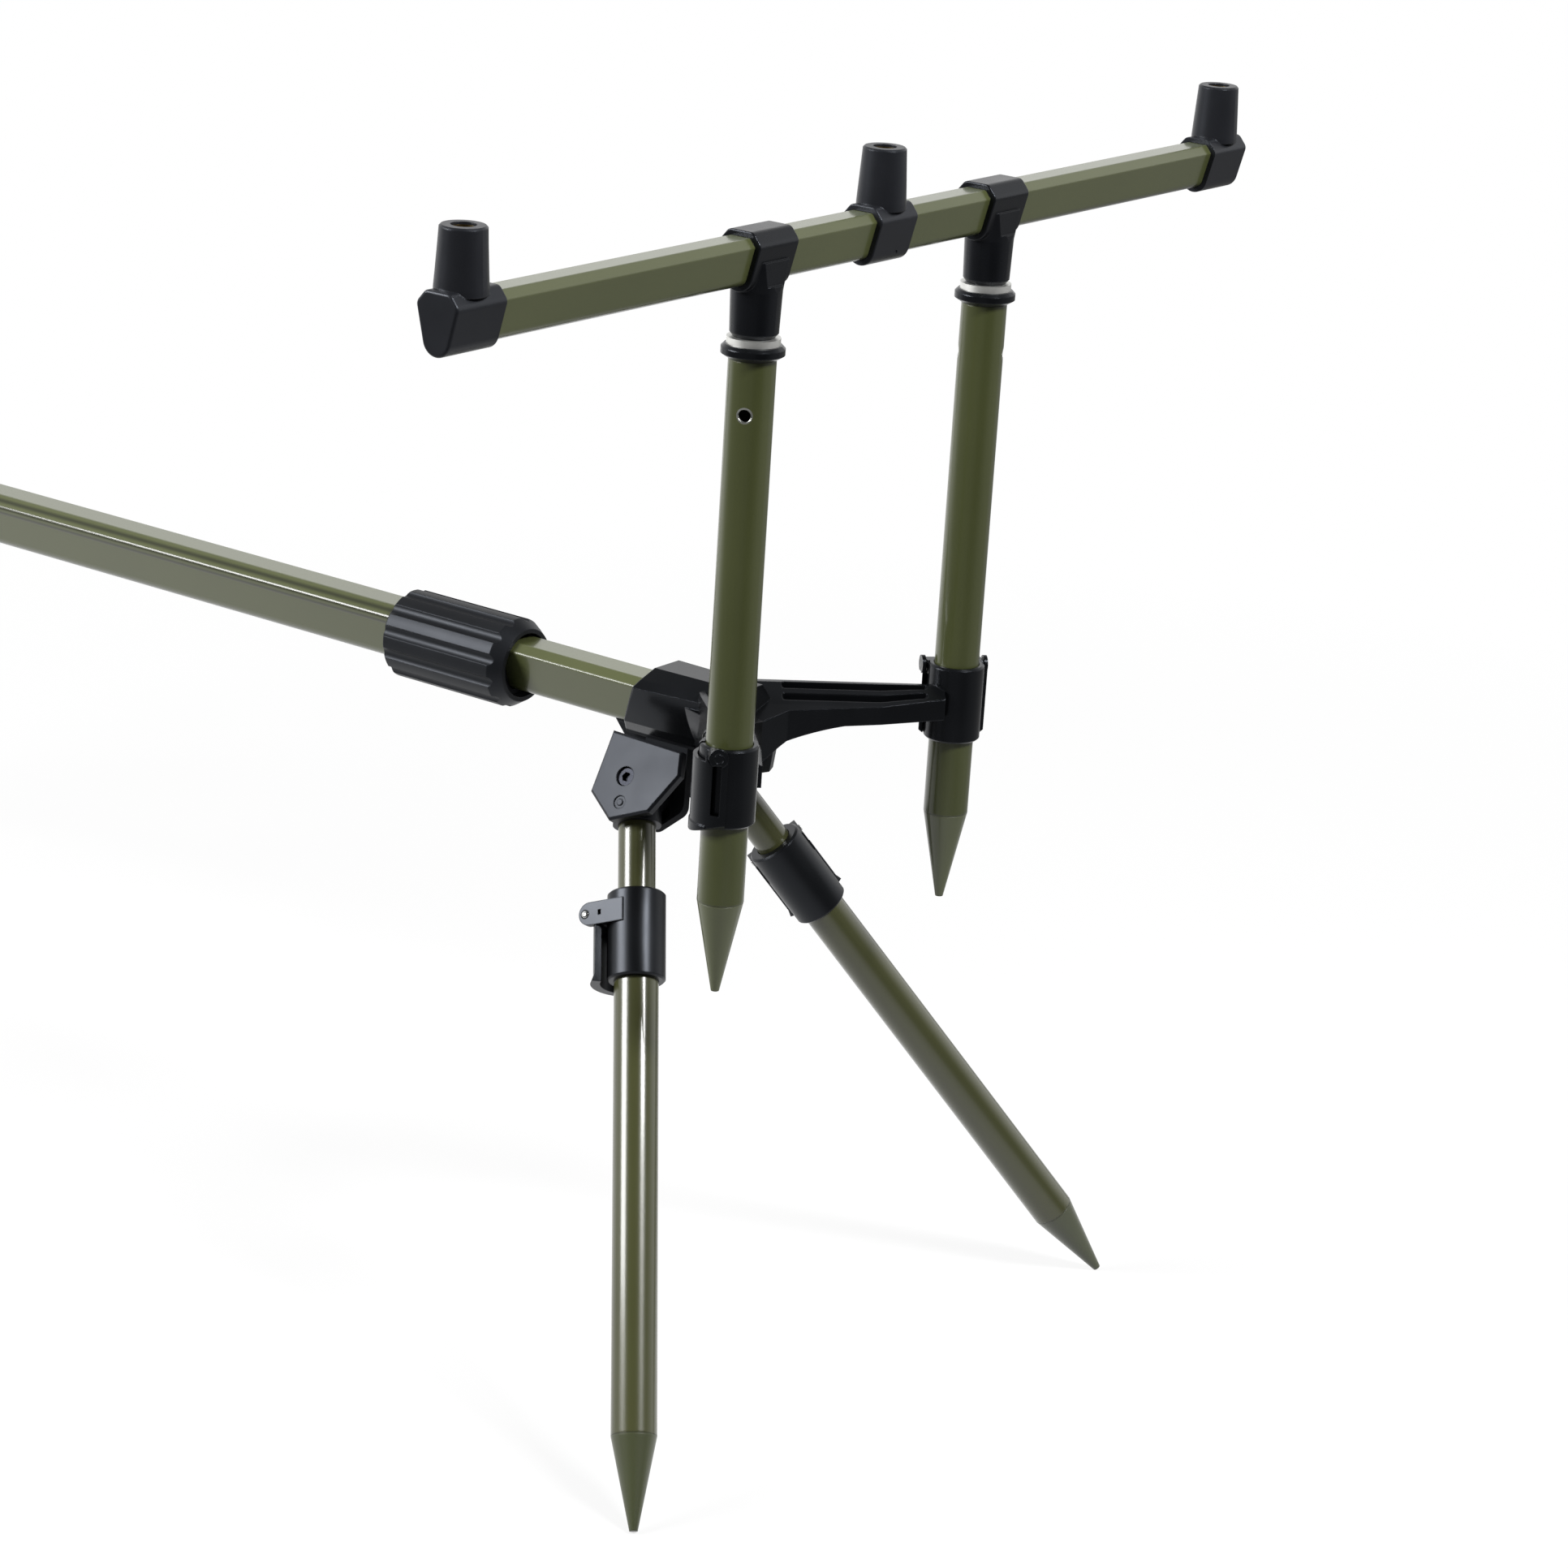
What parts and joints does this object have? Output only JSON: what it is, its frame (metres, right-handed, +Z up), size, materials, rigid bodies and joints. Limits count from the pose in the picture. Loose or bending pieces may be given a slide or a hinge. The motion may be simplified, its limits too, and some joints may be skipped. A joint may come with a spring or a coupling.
{
  "type": "fishing rod pod",
  "caption": "Low stand for fishing rods: a telescopic bar on splayed folding legs, with a cross bar on twin height-adjustable posts at each end that takes threaded rod rests.",
  "frame": {"origin": "on the ground plane, below the middle of the main bar", "axes": "+X along the main bar towards the front end, +Y across it to the left, +Z up"},
  "size_m": [0.9876, 0.536, 0.5294],
  "materials": {
    "painted_tube": "satin olive green paint on aluminium tube",
    "painted_spike": "satin olive green paint on aluminium point",
    "black_plastic": "satin black glass-filled nylon",
    "dark_steel": "black oxide steel",
    "bright_steel": "bright turned steel",
    "brass_insert": "machined brass"
  },
  "bodies": {
    "outer_bar": {"main_outer_tube": "painted_tube", "front_collet": "black_plastic", "rear_collet": "black_plastic"},
    "front_carriage": {"front_inner_tube": "painted_tube", "front_yoke": "black_plastic", "front_pivot_bolts": "dark_steel"},
    "front_twist_collar": {"front_collar": "black_plastic"},
    "front_goalpost": {"front_right_upright_tube": "painted_tube", "front_left_upright_tube": "painted_tube", "front_upright_spikes": "painted_spike", "front_upright_flanges": "black_plastic", "front_coupling_studs": "bright_steel", "front_buzz_bar_tube": "painted_tube", "front_tee_fittings": "black_plastic", "front_centre_post": "black_plastic", "front_end_caps": "black_plastic", "front_threaded_inserts": "brass_insert"},
    "front_right_sleeve_lever": {"front_right_sleeve_lever": "black_plastic"},
    "front_right_leg": {"front_right_leg_knuckle": "black_plastic", "front_right_leg_upper_tube": "painted_tube"},
    "front_right_lower_leg": {"front_right_leg_lower_tube": "painted_tube", "front_right_leg_clamp": "black_plastic", "front_right_leg_spike": "painted_spike"},
    "front_right_leg_lever": {"front_right_leg_lever": "black_plastic"},
    "front_left_sleeve_lever": {"front_left_sleeve_lever": "black_plastic"},
    "front_left_leg": {"front_left_leg_knuckle": "black_plastic", "front_left_leg_upper_tube": "painted_tube"},
    "front_left_lower_leg": {"front_left_leg_lower_tube": "painted_tube", "front_left_leg_clamp": "black_plastic", "front_left_leg_spike": "painted_spike"},
    "front_left_leg_lever": {"front_left_leg_lever": "black_plastic"},
    "rear_carriage": {"rear_inner_tube": "painted_tube", "rear_yoke": "black_plastic", "rear_pivot_bolts": "dark_steel"},
    "rear_twist_collar": {"rear_collar": "black_plastic"},
    "rear_goalpost": {"rear_right_upright_tube": "painted_tube", "rear_left_upright_tube": "painted_tube", "rear_upright_spikes": "painted_spike", "rear_upright_flanges": "black_plastic", "rear_coupling_studs": "bright_steel", "rear_buzz_bar_tube": "painted_tube", "rear_tee_fittings": "black_plastic", "rear_centre_post": "black_plastic", "rear_end_caps": "black_plastic", "rear_threaded_inserts": "brass_insert"},
    "rear_right_sleeve_lever": {"rear_right_sleeve_lever": "black_plastic"},
    "rear_right_leg": {"rear_right_leg_knuckle": "black_plastic", "rear_right_leg_upper_tube": "painted_tube"},
    "rear_right_lower_leg": {"rear_right_leg_lower_tube": "painted_tube", "rear_right_leg_clamp": "black_plastic", "rear_right_leg_spike": "painted_spike"},
    "rear_right_leg_lever": {"rear_right_leg_lever": "black_plastic"},
    "rear_left_sleeve_lever": {"rear_left_sleeve_lever": "black_plastic"},
    "rear_left_leg": {"rear_left_leg_knuckle": "black_plastic", "rear_left_leg_upper_tube": "painted_tube"},
    "rear_left_lower_leg": {"rear_left_leg_lower_tube": "painted_tube", "rear_left_leg_clamp": "black_plastic", "rear_left_leg_spike": "painted_spike"},
    "rear_left_leg_lever": {"rear_left_leg_lever": "black_plastic"}
  },
  "joints": [
    {"name": "front_bar_slide", "type": "slide", "parent": "outer_bar", "child": "front_carriage", "axis": [1, 0, 0], "range_m": [-0.05, 0.14]},
    {"name": "front_collar_twist", "type": "hinge", "parent": "outer_bar", "child": "front_twist_collar", "pos_m": [0.247, 0, 0.2763], "axis": [1, 0, 0], "range_deg": [-90, 0]},
    {"name": "front_goalpost_height", "type": "slide", "parent": "front_carriage", "child": "front_goalpost", "axis": [0, 0, 1], "range_m": [-0.145, 0.03]},
    {"name": "front_right_sleeve_lever_hinge", "type": "hinge", "parent": "front_carriage", "child": "front_right_sleeve_lever", "pos_m": [0.44598, -0.08375, 0.2976], "axis": [-0.682, 0.7314, 0], "range_deg": [0, 55]},
    {"name": "front_right_leg_fold", "type": "hinge", "parent": "front_carriage", "child": "front_right_leg", "pos_m": [0.3665, -0.0253, 0.2481], "axis": [0, -0.8616, 0.5075], "range_deg": [-100, 0]},
    {"name": "front_right_lower_leg_slide", "type": "slide", "parent": "front_right_leg", "child": "front_right_lower_leg", "axis": [0.4099, -0.4629, -0.7859], "range_m": [0, 0.13]},
    {"name": "front_right_leg_lever_hinge", "type": "hinge", "parent": "front_right_lower_leg", "child": "front_right_leg_lever", "pos_m": [0.37144, -0.05584, 0.19626], "axis": [0, 0.8616, -0.5075], "range_deg": [0, 100]},
    {"name": "front_left_sleeve_lever_hinge", "type": "hinge", "parent": "front_carriage", "child": "front_left_sleeve_lever", "pos_m": [0.44598, 0.08375, 0.2976], "axis": [0.682, 0.7314, 0], "range_deg": [0, 55]},
    {"name": "front_left_leg_fold", "type": "hinge", "parent": "front_carriage", "child": "front_left_leg", "pos_m": [0.3665, 0.0253, 0.2481], "axis": [0, -0.8616, -0.5075], "range_deg": [-100, 0]},
    {"name": "front_left_lower_leg_slide", "type": "slide", "parent": "front_left_leg", "child": "front_left_lower_leg", "axis": [0.4099, 0.4629, -0.7859], "range_m": [0, 0.13]},
    {"name": "front_left_leg_lever_hinge", "type": "hinge", "parent": "front_left_lower_leg", "child": "front_left_leg_lever", "pos_m": [0.37398, 0.06337, 0.20203], "axis": [0.4968, 0.6093, 0.618], "range_deg": [0, 100]},
    {"name": "rear_bar_slide", "type": "slide", "parent": "outer_bar", "child": "rear_carriage", "axis": [-1, 0, 0], "range_m": [-0.05, 0.14]},
    {"name": "rear_collar_twist", "type": "hinge", "parent": "outer_bar", "child": "rear_twist_collar", "pos_m": [-0.247, 0, 0.2763], "axis": [-1, 0, 0], "range_deg": [-90, 0]},
    {"name": "rear_goalpost_height", "type": "slide", "parent": "rear_carriage", "child": "rear_goalpost", "axis": [0, 0, 1], "range_m": [-0.145, 0.03]},
    {"name": "rear_right_sleeve_lever_hinge", "type": "hinge", "parent": "rear_carriage", "child": "rear_right_sleeve_lever", "pos_m": [-0.44598, 0.08375, 0.2976], "axis": [0.682, -0.7314, 0], "range_deg": [0, 55]},
    {"name": "rear_right_leg_fold", "type": "hinge", "parent": "rear_carriage", "child": "rear_right_leg", "pos_m": [-0.3665, 0.0253, 0.2481], "axis": [0, 0.8616, 0.5075], "range_deg": [-100, 0]},
    {"name": "rear_right_lower_leg_slide", "type": "slide", "parent": "rear_right_leg", "child": "rear_right_lower_leg", "axis": [-0.4099, 0.4629, -0.7859], "range_m": [0, 0.13]},
    {"name": "rear_right_leg_lever_hinge", "type": "hinge", "parent": "rear_right_lower_leg", "child": "rear_right_leg_lever", "pos_m": [-0.37144, 0.05584, 0.19626], "axis": [0, -0.8616, -0.5075], "range_deg": [0, 100]},
    {"name": "rear_left_sleeve_lever_hinge", "type": "hinge", "parent": "rear_carriage", "child": "rear_left_sleeve_lever", "pos_m": [-0.44598, -0.08375, 0.2976], "axis": [-0.682, -0.7314, 0], "range_deg": [0, 55]},
    {"name": "rear_left_leg_fold", "type": "hinge", "parent": "rear_carriage", "child": "rear_left_leg", "pos_m": [-0.3665, -0.0253, 0.2481], "axis": [0, 0.8616, -0.5075], "range_deg": [-100, 0]},
    {"name": "rear_left_lower_leg_slide", "type": "slide", "parent": "rear_left_leg", "child": "rear_left_lower_leg", "axis": [-0.4099, -0.4629, -0.7859], "range_m": [0, 0.13]},
    {"name": "rear_left_leg_lever_hinge", "type": "hinge", "parent": "rear_left_lower_leg", "child": "rear_left_leg_lever", "pos_m": [-0.37398, -0.06337, 0.20203], "axis": [-0.4968, -0.6093, 0.618], "range_deg": [0, 100]}
  ]
}
